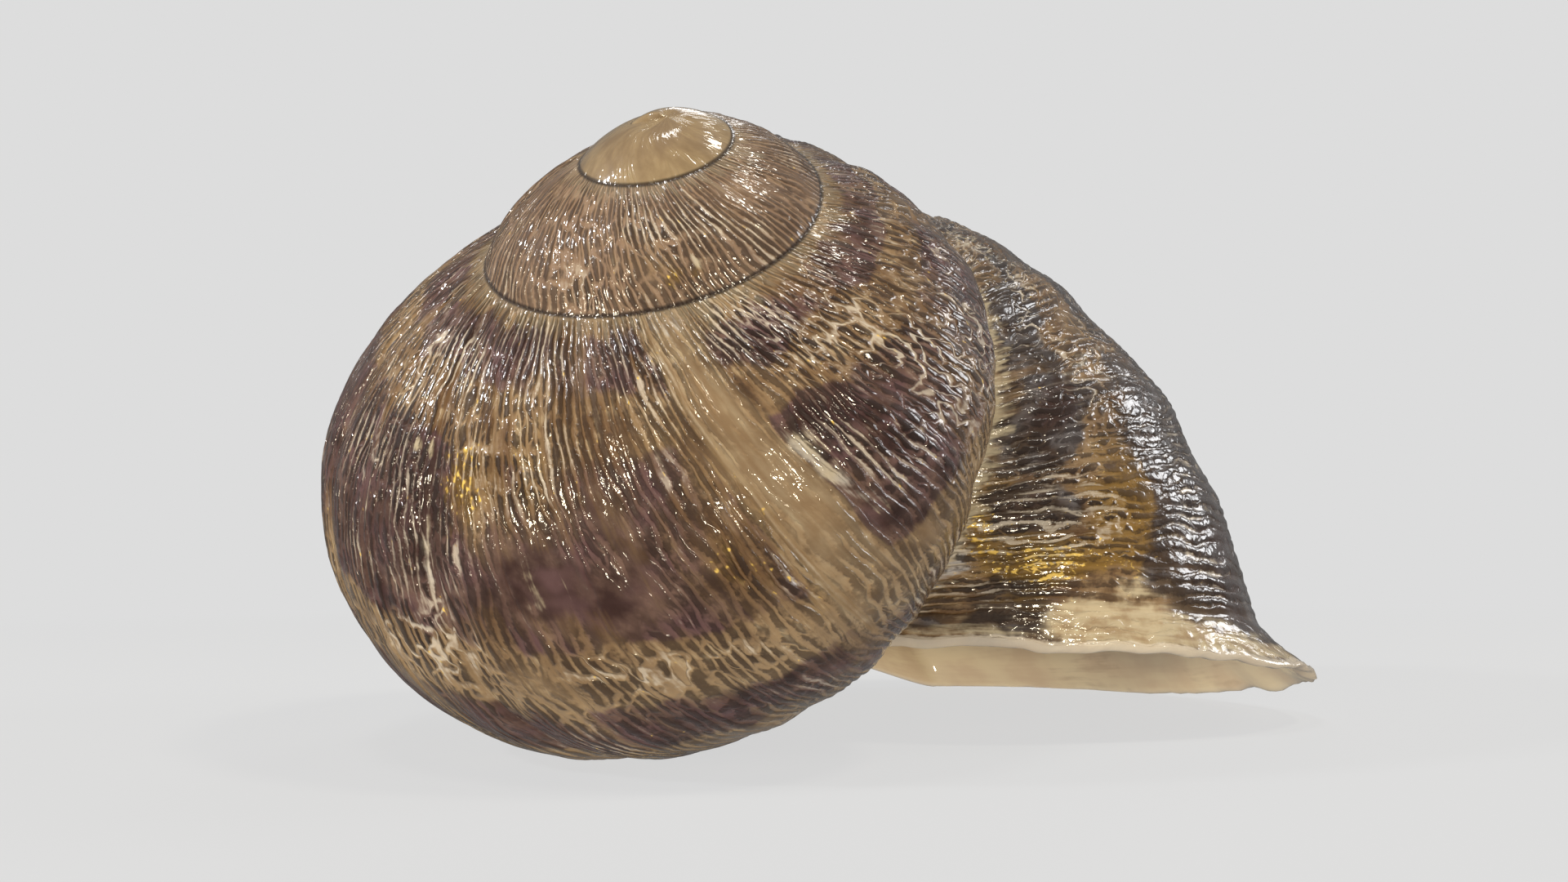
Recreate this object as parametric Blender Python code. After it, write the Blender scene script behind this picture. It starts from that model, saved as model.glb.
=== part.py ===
"""A garden snail shell, modelled as one closed faceted body with an open mouth.

The shell is a tube that grows along a spiral. Its round cross-section is larger, lower and
further from the coiling axis the later it was laid down. The shell is built in rings that
follow the growth lines, so the last ring is the lip of the mouth. Each ring starts on the
suture, where the whorl sits on the one before it, and only the skin that can be seen or
reached from the mouth is made: the outside, the lip and the hollow behind it.
"""
import math

import bmesh
import bpy
import numpy as np

MM = 0.001
TURN = 2 * math.pi

# The spiral, measured at the mouth and seen with the coiling axis upright and the tip on top
MOUTH_RADIUS = 14.09 * MM
COIL_RADIUS = 5.84 * MM
SPIRE_HEIGHT = 20.32 * MM
GROWTH_RATE = 0.1364
GROWTH_CHANGE = 0.0007
HEIGHT_POWER = 1.018
WIDTH_POWER = 0.881

# The last part of the last whorl turns down and slightly in
DROP_DEPTH = 4.78 * MM
DROP_IN = 0.61 * MM
DROP_ANGLE = math.radians(74.9)
DROP_POWER = 2.15

# The cross-section is a circle with small waves: how many round it, cosine part, sine part
WAVES = ((2, 0.0055, -0.0229), (3, 0.0271, -0.0237), (4, -0.0073, 0.0170))

# The plane of the mouth: the way it faces, and how far it is from the tip
MOUTH_TURN = math.radians(74.96)
MOUTH_TILT = math.radians(-32.71)
MOUTH_REACH = 12.33 * MM
LIP_LAG_LIMIT = math.radians(-78)

# The wall, the pillar in the middle and the closed navel under it
WALL = 0.75 * MM
LIP_THICKNESS = 1.1 * MM
LIP_ROUNDING = math.radians(0.8)
PILLAR_RADIUS = 1.7 * MM
NAVEL_DEPTH = 22.8 * MM
NAVEL_RISE = 5 * MM
BASE_END = math.radians(-72)
CORNER_TURN = math.radians(9)

# The lip flares out over the last part of its growth, most on the side away from the axis
FLARE = 1.5 * MM
FLARE_LENGTH = math.radians(7)
FLARE_SIDE = math.radians(8)
FLARE_SPREAD = math.radians(27)

# Where the whorl before it is pressed in beside the suture: its place, push and reach
PRESS_CENTRE = np.array([8.4, 0.0, -11.6]) * MM
PRESS_PUSH = np.array([-0.67, -0.26, 0.06]) * MM
PRESS_REACH = 4.2 * MM

# Uneven growth: low swellings along the spiral, as period and height
SWELLINGS = ((math.radians(10.7), 0.05 * MM), (math.radians(17.3), 0.06 * MM), (math.radians(29.0), 0.07 * MM))

# How the shell rests, mouth down: the direction that ends up downwards, the turn about the
# vertical, and the point of the floor below the middle of the shell, in the turned frame
REST_TURN = math.radians(-72)
REST_TILT = math.radians(-42.8)
REST_HEADING = math.radians(-174.262)
REST_POINT = np.array([4.955, 12.146, -17.46]) * MM

# Look of the surface
COLOUR = (0.30, 0.235, 0.155, 1.0)
ROUGHNESS = 0.35

# Mesh density
RINGS_PER_TURN = 64
ROWS = 4
TIP_START = math.radians(97)
TIP_DEPTH = 0.05 * MM
LAST_ACROSS = 15
ACROSS_STEP = math.radians(9)
FEWEST_ACROSS = 4
BASE_ACROSS = 3
NAVEL_ACROSS = 5
HOLLOW_FINE = 8
HOLLOW_STEP = 2
HOLLOW_DEPTH = 84
HOLLOW_ACROSS = 13
HOLLOW_FLOOR = 3
HOLLOW_WALL = 5
HOLLOW_PILLAR = 2


def growth(angle):
    return np.exp(GROWTH_RATE * angle + GROWTH_CHANGE * angle ** 2)


def centre(angle):
    """Distance from the axis and height of the cross-section's middle."""
    size = growth(angle)
    drop = np.clip(1 + angle / DROP_ANGLE, 0, None) ** DROP_POWER
    return COIL_RADIUS * size - DROP_IN * drop, -SPIRE_HEIGHT * size ** HEIGHT_POWER - DROP_DEPTH * drop


def section_radius(angle, turn):
    """Radius of the cross-section at a direction: 0 is outwards, a quarter turn is up."""
    wave = 1.0
    for count, cosine, sine in WAVES:
        wave = wave + cosine * np.cos(count * turn) + sine * np.sin(count * turn)
    return MOUTH_RADIUS * wave * growth(angle) ** WIDTH_POWER


def section_point(angle, turn, inset=0.0):
    out, height = centre(angle)
    radius = section_radius(angle, turn) - inset
    return out + radius * np.cos(turn), height + radius * np.sin(turn)


def place(angle, out, height):
    """Point in space for a growth angle; the shell coils clockwise seen from its tip."""
    return np.stack(np.broadcast_arrays(out * np.cos(angle), -out * np.sin(angle), height), axis=-1)


def solve(function, low, high, steps=40):
    """Root of an array function that goes from negative to positive between low and high."""
    low = np.array(low, dtype=float)
    high = np.array(high, dtype=float)
    for _ in range(steps):
        middle = (low + high) / 2
        above = function(middle) > 0
        high = np.where(above, middle, high)
        low = np.where(above, low, middle)
    return (low + high) / 2


def lag_table():
    """How far the plane of the mouth lets each part of the last ring grow."""
    facing = np.array([math.cos(MOUTH_TILT) * math.cos(MOUTH_TURN),
                       -math.cos(MOUTH_TILT) * math.sin(MOUTH_TURN), math.sin(MOUTH_TILT)])
    turns = np.radians(np.arange(-96, 84, 1.0))

    def beyond(angle):
        return place(angle, *section_point(angle, turns)) @ facing - MOUTH_REACH

    values = solve(beyond, np.full(turns.shape, math.radians(-110)), np.full(turns.shape, math.radians(40)))
    return turns, np.maximum(values, LIP_LAG_LIMIT)


LAG_TURNS, LAG_VALUES = lag_table()


def lag(turn):
    return np.interp(turn, LAG_TURNS, LAG_VALUES)


def crossing(angles, inset):
    """Direction, on each whorl and on the one before it, where the two meet on the upper side."""
    turns = np.radians(np.linspace(-60, 150, 421))
    out, height = section_point(angles[:, None], turns[None], inset)
    before = angles[:, None] - TURN
    out_before, height_before = centre(before)
    direction = np.arctan2(height - height_before, out - out_before)
    gap = np.hypot(height - height_before, out - out_before) - section_radius(before, direction)
    enters = (gap[:, :-1] >= 0) & (gap[:, 1:] < 0)
    last = np.argmax(enters, axis=1)
    rows = np.arange(len(angles))
    share = gap[rows, last] / (gap[rows, last] - gap[rows, last + 1])
    upper = turns[last] + share * (turns[1] - turns[0])
    lower = direction[rows, last] * (1 - share) + direction[rows, last + 1] * share
    return upper, lower


SEAM_ANGLES = np.radians(np.arange(-1600, 24, 2.0))
SEAM_UPPER, SEAM_LOWER = crossing(SEAM_ANGLES, 0.0)
INNER_UPPER, INNER_LOWER = crossing(SEAM_ANGLES, WALL)


def upper_turn(stage, table=SEAM_UPPER):
    """Direction at which a ring of a growth stage touches the whorl before it."""
    return solve(lambda turn: turn - np.interp(stage + lag(turn), SEAM_ANGLES, table),
                 np.full_like(stage, math.radians(-20)), np.full_like(stage, math.radians(110)))


def lower_turn(stage, table=SEAM_LOWER):
    """Direction at which the next whorl touches a ring of a growth stage."""
    return solve(lambda turn: turn - np.interp(stage + lag(turn) + TURN, SEAM_ANGLES, table),
                 np.full_like(stage, math.radians(-80)), np.full_like(stage, math.radians(110)))


def next_stage(stage):
    """Growth stage of the ring that starts where the ring of this stage is covered."""
    angle = stage + lag(lower_turn(stage)) + TURN
    return angle - lag(np.interp(angle, SEAM_ANGLES, SEAM_UPPER))


def ring_stages():
    """Growth stages of all rings, up to the lip: each is covered by the ring a row later."""
    first = solve(next_stage, np.array(-TURN), np.array(math.radians(-250)))
    row = np.linspace(float(first), 0.0, RINGS_PER_TURN + 1)
    everything = row
    for _ in range(ROWS - 1):
        goal = row[:-1]
        earlier = solve(lambda stage: next_stage(stage) - goal, goal - 1.2 * TURN, goal - 0.7 * TURN)
        everything = np.concatenate([earlier, everything])
        row = np.append(earlier, row[0])
    return everything


def swelling(stage):
    total = 0.0
    for number, (period, height) in enumerate(SWELLINGS):
        total = total + height * np.sin(TURN * stage / period + number) * growth(stage) ** WIDTH_POWER
    return total


def press(point):
    offset = point - PRESS_CENTRE
    return point + PRESS_PUSH * math.exp(-(offset @ offset) / PRESS_REACH ** 2)


def flare(stage, turn):
    """How far the lip stands out from the even spiral."""
    rise = np.clip(1 + stage / FLARE_LENGTH, 0, None) ** 2
    side = np.exp(-((turn - FLARE_SIDE) / FLARE_SPREAD) ** 2)
    return FLARE * rise * side


def wall(stage):
    near_lip = np.clip(1 + stage / FLARE_LENGTH, 0, 1)
    return WALL + (LIP_THICKNESS - WALL) * near_lip


def ring_curve(stage, start, end, steps, inset=0.0):
    """Points along a growth line, as growth angles, distances from the axis and heights."""
    turns = np.linspace(start, end, steps + 1)
    angles = stage + lag(turns)
    raised = flare(stage, turns) + (swelling(stage) if inset == 0.0 else 0.0)
    out, height = section_point(angles, turns, inset - raised)
    return np.stack([angles, out, height], axis=1)


def sweep_in(edge, goal, steps):
    """Smooth run from the inner end of a ring's base to a point at or near the axis."""
    share = np.linspace(0, 1, steps + 1)[1:, None]
    reach = edge[1] - goal[1]
    rise = goal[2] - edge[2]
    upward = np.clip(rise / NAVEL_RISE, 0, 1)
    leave = edge + np.array([0.0, (0.25 * upward - 0.6) * reach, 0.3 * max(rise, 0.0)])
    arrive = goal + np.array([0.0, (0.12 + 0.22 * upward) * reach, -0.34 * rise])
    return ((1 - share) ** 3 * edge + 3 * share * (1 - share) ** 2 * leave
            + 3 * share ** 2 * (1 - share) * arrive + share ** 3 * goal)


def navel_goal(stage):
    return np.array([stage + LIP_LAG_LIMIT, 0.0, -NAVEL_DEPTH])


class Skin:
    """Vertices and faces of the shell's single surface."""

    def __init__(self):
        self.points = []
        self.faces = []

    def add(self, curve):
        first = len(self.points)
        self.points.extend(press(place(*row)) for row in curve)
        return list(range(first, len(self.points)))

    def face(self, *corners):
        kept = [corner for index, corner in enumerate(corners) if corner != corners[index - 1]]
        if len(kept) > 2:
            self.faces.append(kept)

    def gap(self, one, two):
        return math.dist(self.points[one], self.points[two])

    def strip(self, one, two):
        """Faces between two rows of vertices, which may differ in number."""
        if len(one) == len(two):
            for i in range(len(one) - 1):
                self.face(one[i], two[i], two[i + 1], one[i + 1])
            return
        i = j = 0
        while i < len(one) - 1 or j < len(two) - 1:
            step_one = self.gap(one[i + 1], two[j]) if i < len(one) - 1 else math.inf
            step_two = self.gap(one[i], two[j + 1]) if j < len(two) - 1 else math.inf
            if step_one < step_two:
                self.face(one[i], two[j], one[i + 1])
                i += 1
            else:
                self.face(one[i], two[j], two[j + 1])
                j += 1


def spire(skin, stages):
    """Rings of all whorls but the last, from the tip to where the lip meets the suture."""
    tip = skin.add([(0.0, 0.0, -TIP_DEPTH)])[0]
    seam = [tip] * RINGS_PER_TURN
    tip_ring = None
    ring = None
    for stage in stages[:-RINGS_PER_TURN - 1]:
        top = seam[-RINGS_PER_TURN]
        start = TIP_START if top == tip else float(upper_turn(stage))
        end = float(lower_turn(stage))
        steps = max(FEWEST_ACROSS, round((start - end) / ACROSS_STEP))
        previous = ring
        ring = [top] + skin.add(ring_curve(stage, start, end, steps)[1:])
        seam.append(ring[-1])
        if tip_ring is None:
            tip_ring = ring
        elif top == tip_ring[-1]:
            skin.strip(previous, tip_ring + ring[1:])
        else:
            skin.strip(previous, ring)
    return ring, seam[-RINGS_PER_TURN:]


def last_whorl(skin, previous, seam, stages):
    """Rings of the last whorl, which run on round the base to the navel."""
    navel = skin.add([(0.0, 0.0, -NAVEL_DEPTH)])[0]
    middle = float(lower_turn(stages[0]))
    rings = []
    for index, stage in enumerate(stages):
        top = seam[index] if index < len(seam) else rings[0][LAST_ACROSS]
        side = ring_curve(stage, float(upper_turn(stage)), middle, LAST_ACROSS)
        base = ring_curve(stage, middle, BASE_END, BASE_ACROSS)
        sweep = sweep_in(base[-1], navel_goal(stage), NAVEL_ACROSS)
        ring = [top] + skin.add(side[1:]) + skin.add(base[1:]) + skin.add(sweep[:-1]) + [navel]
        if rings:
            skin.strip(rings[-1], ring)
        else:
            skin.strip(previous, ring[:LAST_ACROSS + 1])
        rings.append(ring)
    return rings[0], rings[-1]


def hollow_curves(stage, covered_stage):
    """Two runs round the hollow from its upper corner: over the outer wall, and over the
    whorl before it. Both end at one point on the pillar."""
    start = float(upper_turn(stage, INNER_UPPER)) - CORNER_TURN
    outer = ring_curve(stage, start, BASE_END, HOLLOW_ACROSS, wall(stage))
    start = float(lower_turn(covered_stage, INNER_LOWER)) - CORNER_TURN / 2
    inner = ring_curve(covered_stage, start, BASE_END, HOLLOW_WALL - 1)
    inner[:, 0] += TURN
    pillar = PILLAR_RADIUS * growth(outer[-1][0]) ** WIDTH_POWER
    floor = max(outer[-1][2], -NAVEL_DEPTH + LIP_THICKNESS)
    foot = np.array([stage + LIP_LAG_LIMIT, pillar, floor])
    outer = np.concatenate([outer, sweep_in(outer[-1], foot, HOLLOW_FLOOR)])
    inner = np.concatenate([inner, sweep_in(inner[-1], foot, HOLLOW_PILLAR + 1)[:-1]])
    return outer, inner


def hollow(skin, mouth_start, stages):
    """The hollow behind the mouth; gives the inner edge of the lip."""
    outer, _ = hollow_curves(stages[-1], stages[-1 - RINGS_PER_TURN])
    foot = mouth_start[-2]
    outer_row = skin.add(outer[:-1]) + [foot]
    bend = LAST_ACROSS + BASE_ACROSS
    inner_row = [outer_row[0]] + mouth_start[bend:-1]
    for one, two in zip(mouth_start[LAST_ACROSS:bend], mouth_start[LAST_ACROSS + 1:bend + 1]):
        skin.face(one, two, outer_row[0])
    edge = [mouth_start[LAST_ACROSS]] + outer_row + [mouth_start[-1]]
    behind_lip = list(range(1, HOLLOW_FINE)) + list(range(HOLLOW_FINE, HOLLOW_DEPTH, HOLLOW_STEP))
    for number in behind_lip:
        index = -1 - number
        outer, inner = hollow_curves(stages[index], stages[index - RINGS_PER_TURN])
        next_outer = skin.add(outer)
        next_inner = [next_outer[0]] + skin.add(inner) + [next_outer[-1]]
        skin.strip(outer_row, next_outer)
        skin.strip(inner_row, next_inner)
        outer_row, inner_row = next_outer, next_inner
    loop = outer_row + inner_row[1:-1][::-1]
    corners = np.array([skin.points[index] for index in loop])
    skin.points.append(corners.mean(axis=0))
    end = len(skin.points) - 1
    for one, two in zip(loop, loop[1:] + loop[:1]):
        skin.face(one, two, end)
    return edge


def lip(skin, mouth_end, edge, stage):
    """The rounded rim between the outside and the hollow."""
    crest = ring_curve(stage + LIP_ROUNDING, float(upper_turn(stage)) - CORNER_TURN / 2, BASE_END,
                       LAST_ACROSS, wall(stage) / 2)
    crest = np.concatenate([crest, sweep_in(crest[-1], navel_goal(stage), NAVEL_ACROSS)[:-1]])
    crest_row = [mouth_end[0]] + skin.add(crest) + [mouth_end[-1]]
    skin.strip(mouth_end, crest_row)
    skin.strip(crest_row, edge)


def rest_axes():
    """Right, forward and up directions of the resting shell, in the upright shell's frame."""
    down = np.array([math.cos(REST_TILT) * math.cos(REST_TURN), math.cos(REST_TILT) * math.sin(REST_TURN),
                     math.sin(REST_TILT)])
    level = np.cross([0.0, 0.0, 1.0], -down)
    level /= np.linalg.norm(level)
    right = math.cos(REST_HEADING) * level + math.sin(REST_HEADING) * np.cross(-down, level)
    return np.array([right, np.cross(-down, right), -down])


def set_down(points):
    """Lay the shell on the floor, with a small flat spot where it touches."""
    points = points @ rest_axes().T - REST_POINT
    points[:, 2] = np.maximum(points[:, 2], 0.0)
    return points


def shell_surface():
    stages = ring_stages()
    skin = Skin()
    ring, seam = spire(skin, stages)
    mouth_start, mouth_end = last_whorl(skin, ring, seam, stages[-RINGS_PER_TURN - 1:])
    edge = hollow(skin, mouth_start, stages)
    lip(skin, mouth_end, edge, stages[-1])
    return set_down(np.array(skin.points)), skin.faces


def shell_material():
    material = bpy.data.materials.new("shell")
    material.use_nodes = True
    surface = material.node_tree.nodes["Principled BSDF"]
    surface.inputs["Base Color"].default_value = COLOUR
    surface.inputs["Roughness"].default_value = ROUGHNESS
    return material


def make_shell():
    points, faces = shell_surface()
    mesh = bpy.data.meshes.new("shell")
    mesh.from_pydata(points.tolist(), [], faces)
    work = bmesh.new()
    work.from_mesh(mesh)
    bmesh.ops.recalc_face_normals(work, faces=work.faces)
    bmesh.ops.triangulate(work, faces=work.faces)
    work.to_mesh(mesh)
    work.free()
    mesh.shade_smooth()
    mesh.materials.append(shell_material())
    shell = bpy.data.objects.new("shell", mesh)
    bpy.context.collection.objects.link(shell)
    return shell


def main():
    for item in list(bpy.data.objects):
        bpy.data.objects.remove(item)
    make_shell()


main()
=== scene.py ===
"""The look of a garden snail shell: a finely ridged, glossy, mottled surface with a pearly mouth.

The surface follows the growth of the shell. A point on it is given by its growth stage, which
says when the growth line through it was the lip, and by its turn round the cross-section.
Ridges, wrinkles and markings are worked out in these coordinates.
"""
import math

import bpy
import numpy as np
from mathutils import Matrix, Vector


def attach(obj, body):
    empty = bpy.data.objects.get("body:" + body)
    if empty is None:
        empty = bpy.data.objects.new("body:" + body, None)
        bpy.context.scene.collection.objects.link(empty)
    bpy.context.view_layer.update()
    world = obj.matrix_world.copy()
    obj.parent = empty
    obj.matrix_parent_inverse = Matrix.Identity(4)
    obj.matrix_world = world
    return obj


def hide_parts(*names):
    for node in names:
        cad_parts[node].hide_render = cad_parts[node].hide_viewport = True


MM = 0.001
TURN = 2 * math.pi

# The spiral, as in the solid: sizes at the mouth with the coiling axis upright
MOUTH_RADIUS = 14.09 * MM
COIL_RADIUS = 5.84 * MM
SPIRE_HEIGHT = 20.32 * MM
GROWTH_RATE = 0.1364
GROWTH_CHANGE = 0.0007
HEIGHT_POWER = 1.018
WIDTH_POWER = 0.881
DROP_DEPTH = 4.78 * MM
DROP_IN = 0.61 * MM
DROP_ANGLE = math.radians(74.9)
DROP_POWER = 2.15
WAVES = ((2, 0.0055, -0.0229), (3, 0.0271, -0.0237), (4, -0.0073, 0.017))
MOUTH_TURN = math.radians(74.96)
MOUTH_TILT = math.radians(-32.71)
MOUTH_REACH = 12.33 * MM
LIP_LAG_LIMIT = math.radians(-78)
PILLAR_RADIUS = 1.7 * MM
NAVEL_DEPTH = 22.8 * MM
NAVEL_RISE = 5 * MM
BASE_END = math.radians(-72)
FLARE = 1.5 * MM
FLARE_LENGTH = math.radians(7)
FLARE_SIDE = math.radians(8)
FLARE_SPREAD = math.radians(27)
PRESS_CENTRE = np.array([8.4, 0.0, -11.6]) * MM
PRESS_PUSH = np.array([-0.67, -0.26, 0.06]) * MM
PRESS_REACH = 4.2 * MM
SWELLINGS = ((math.radians(10.7), 0.05 * MM), (math.radians(17.3), 0.06 * MM),
             (math.radians(29.0), 0.07 * MM))
TIP_START = math.radians(97)
TIP_DEPTH = 0.05 * MM
START_SINK = 0.35 * MM
START_LENGTH = math.radians(40)
REST_TURN = math.radians(-72)
REST_TILT = math.radians(-42.8)
REST_HEADING = math.radians(-174.262)
REST_POINT = np.array([4.955, 12.146, -17.46]) * MM

# The wall as it looks at the lip and inside the mouth
WALL = 0.55 * MM
LIP_THICKNESS = 0.5 * MM
LIP_ROUNDING = math.radians(0.5)
LIP_ROUND_STEPS = 8

# How the lip wavers, and over how much growth
LIP_WAVE = math.radians(0.45)
LIP_WAVE_LENGTH = math.radians(5)
LIP_WAVES = ((1.0, 2.1, 1.0, 31), (0.6, 0.7, 1.0, 32))

# Growth stages that split the surface: the first ring, the last ring that starts at the tip, the
# ring whose suture meets the upper end of the lip, and how far the spire goes past it
FIRST_STAGE = math.radians(-1314)
TIP_END = math.radians(-911)
LAST_WHORL = math.radians(-296)
SPIRE_PAST = math.radians(3)

# Where the swellings set in as the shell grows up
YOUNG_END = math.radians(-900)
GROWN = math.radians(-740)

# Mesh density, and how far the pieces reach past the sutures where they cross
SPIRE_STEP = 0.08 * MM
SPIRE_ACROSS = 66
LAST_STEP = 0.103 * MM
SIDE_ACROSS = 104
SWEEP_ACROSS = 28
INSIDE_STEP = math.radians(1.2)
INSIDE_DEPTH = math.radians(-400)
INSIDE_ACROSS = 60
INSIDE_SWEEP = 14
PILLAR_STEPS = 6
PILLAR_LENGTH = math.radians(12)
OVERLAP = math.radians(2.5)
FLOOR_GAP = 0.1 * OVERLAP
SWEEP_TURN = math.radians(50)

# Handles of the sweep from the base to the axis, as shares of the way in and of the rise: at
# the base and at the axis, the reach where it is level, what a rise adds, and the rise itself
LEAVE = (-0.6, 0.25, 0.3)
ARRIVE = (0.12, 0.22, -0.34)

# Millimetres from a suture: where the relief fades, where the swellings fade, where the hidden
# side turns pearly, and a value that stands for no suture nearby
SEAM_FADE = (0.02, 0.16)
SWELLING_FADE = 1.4
PEARL_FADE = (0.1, 0.25)
NO_SEAM = 9.0

# Degrees between which turns and angles are looked for, and the tables' steps
LAG_TURN_SPAN = (-96, 84)
LAG_SPAN = (-110, 40)
CROSSING_SPAN = (-60, 150)
CROSSING_POINTS = 421
UPPER_SPAN = (-20, 110)
LOWER_SPAN = (-80, 110)
SEAM_SPAN = (-1600, 24)
SEAM_STEP = 2.0
ALONG_SPAN = (-1700, 40)
ALONG_STEP = 1.0
HALVINGS = 40
TINY = 1e-12

# Turns back between which a covered ring is looked for
COVER_SPAN = (1.2, 0.7)


def growth(angle):
    return np.exp(GROWTH_RATE * angle + GROWTH_CHANGE * angle ** 2)


def centre(angle):
    """Distance of the section's centre from the axis, and its height."""
    size = growth(angle)
    drop = np.clip(1 + angle / DROP_ANGLE, 0, None) ** DROP_POWER
    return COIL_RADIUS * size - DROP_IN * drop, -SPIRE_HEIGHT * size ** HEIGHT_POWER - DROP_DEPTH * drop


def section_radius(angle, turn):
    wave = 1.0
    for count, cosine, sine in WAVES:
        wave = wave + cosine * np.cos(count * turn) + sine * np.sin(count * turn)
    return MOUTH_RADIUS * wave * growth(angle) ** WIDTH_POWER


def section_point(angle, turn, inset=0.0):
    out, height = centre(angle)
    radius = section_radius(angle, turn) - inset
    return out + radius * np.cos(turn), height + radius * np.sin(turn)


def place(angle, out, height):
    return np.stack(np.broadcast_arrays(out * np.cos(angle), -out * np.sin(angle), height), axis=-1)


def solve(function, low, high):
    """Where a rising function crosses zero, found by halving."""
    low = np.array(low, dtype=float)
    high = np.array(high, dtype=float)
    for _ in range(HALVINGS):
        middle = (low + high) / 2
        above = function(middle) > 0
        high = np.where(above, middle, high)
        low = np.where(above, low, middle)
    return (low + high) / 2


def ends(like, span):
    """Arrays of the two ends of a span in degrees."""
    return [np.full_like(like, math.radians(end)) for end in span]


def lag_table():
    """How far the lip runs ahead of the section plane, for each turn round the section."""
    facing = np.array([math.cos(MOUTH_TILT) * math.cos(MOUTH_TURN),
                       -math.cos(MOUTH_TILT) * math.sin(MOUTH_TURN), math.sin(MOUTH_TILT)])
    turns = np.radians(np.arange(*LAG_TURN_SPAN, 1.0))

    def beyond(angle):
        return place(angle, *section_point(angle, turns)) @ facing - MOUTH_REACH

    return turns, np.maximum(solve(beyond, *ends(turns, LAG_SPAN)), LIP_LAG_LIMIT)


LAG_TURNS, LAG_VALUES = lag_table()


def lag(turn):
    return np.interp(turn, LAG_TURNS, LAG_VALUES)


def crossing(angles, inset):
    """Turns at which sections, moved in by the inset, meet the whorl before: theirs and the whorl's."""
    turns = np.radians(np.linspace(*CROSSING_SPAN, CROSSING_POINTS))
    out, height = section_point(angles[:, None], turns[None], inset)
    before = angles[:, None] - TURN
    out_before, height_before = centre(before)
    direction = np.arctan2(height - height_before, out - out_before)
    gap = np.hypot(height - height_before, out - out_before) - section_radius(before, direction)
    enters = (gap[:, :-1] >= 0) & (gap[:, 1:] < 0)
    last = np.argmax(enters, axis=1)
    rows = np.arange(len(angles))
    share = gap[rows, last] / (gap[rows, last] - gap[rows, last + 1])
    upper = turns[last] + share * (turns[1] - turns[0])
    lower = direction[rows, last] * (1 - share) + direction[rows, last + 1] * share
    return upper, lower


SEAM_ANGLES = np.radians(np.arange(*SEAM_SPAN, SEAM_STEP))
SEAM_UPPER, SEAM_LOWER = crossing(SEAM_ANGLES, 0.0)
INNER_UPPER = crossing(SEAM_ANGLES, WALL)[0]


def upper_turn(stage, table=SEAM_UPPER):
    """Turn at which a growth line starts, at the suture above it."""
    return solve(lambda turn: turn - np.interp(stage + lag(turn), SEAM_ANGLES, table),
                 *ends(stage, UPPER_SPAN))


def lower_turn(stage):
    """Turn at which a growth line goes under the next whorl."""
    return solve(lambda turn: turn - np.interp(stage + lag(turn) + TURN, SEAM_ANGLES, SEAM_LOWER),
                 *ends(stage, LOWER_SPAN))


def flare(stage, turn):
    rise = np.clip(1 + stage / FLARE_LENGTH, 0, None) ** 2
    side = np.exp(-((turn - FLARE_SIDE) / FLARE_SPREAD) ** 2)
    return FLARE * rise * side


def swelling(stage):
    total = 0.0
    for number, (period, height) in enumerate(SWELLINGS):
        total = total + height * np.sin(TURN * stage / period + number) * growth(stage) ** WIDTH_POWER
    return total


def rest_axes():
    down = np.array([math.cos(REST_TILT) * math.cos(REST_TURN), math.cos(REST_TILT) * math.sin(REST_TURN),
                     math.sin(REST_TILT)])
    level = np.cross([0.0, 0.0, 1.0], -down)
    level /= np.linalg.norm(level)
    right = math.cos(REST_HEADING) * level + math.sin(REST_HEADING) * np.cross(-down, level)
    return np.array([right, np.cross(-down, right), -down])


def in_place(curves):
    """World positions of points given by angle, distance from the axis and height."""
    points = place(curves[..., 0], curves[..., 1], curves[..., 2])
    offset = points - PRESS_CENTRE
    push = np.exp(-np.sum(offset ** 2, axis=-1) / PRESS_REACH ** 2)
    points = points + push[..., None] * PRESS_PUSH
    return points @ rest_axes().T - REST_POINT


# Growth measured in mm along the outermost line of the shell, for features of an even size
ALONG_STAGES = np.radians(np.arange(*ALONG_SPAN, ALONG_STEP))
ALONG_REACH = COIL_RADIUS * growth(ALONG_STAGES) + MOUTH_RADIUS * growth(ALONG_STAGES) ** WIDTH_POWER
ALONG_VALUES = np.cumsum(ALONG_REACH) * math.radians(ALONG_STEP) / MM


def along(stage):
    return np.interp(stage, ALONG_STAGES, ALONG_VALUES)


def stages_between(first, last, step):
    """Growth stages an even distance apart along the outermost line."""
    start, end = along(first), along(last)
    count = round((end - start) * MM / step)
    return np.interp(np.linspace(start, end, count + 1), ALONG_VALUES, ALONG_STAGES)


def section_size(stage):
    """Radius of the cross-section in millimetres."""
    return MOUTH_RADIUS * growth(stage) ** WIDTH_POWER / MM


# Noise that is the same on every run
HASH_X = 374761393
HASH_Y = 668265263
HASH_SEED = 974634777
HASH_MIX = 1274126177
HASH_MASK = 0xFFFFFFFF
NOISE_GAIN = 1.6
NOISE_ROW = 0.5


def hashed(ix, iy, seed):
    """A number from 0 to 1 for each cell."""
    mixed = (ix * HASH_X + iy * HASH_Y + seed * HASH_SEED) & HASH_MASK
    mixed = ((mixed ^ (mixed >> 13)) * HASH_MIX) & HASH_MASK
    return (mixed ^ (mixed >> 16)) / (HASH_MASK + 1.0)


def eased(share):
    return share * share * share * (share * (share * 6 - 15) + 10)


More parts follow.
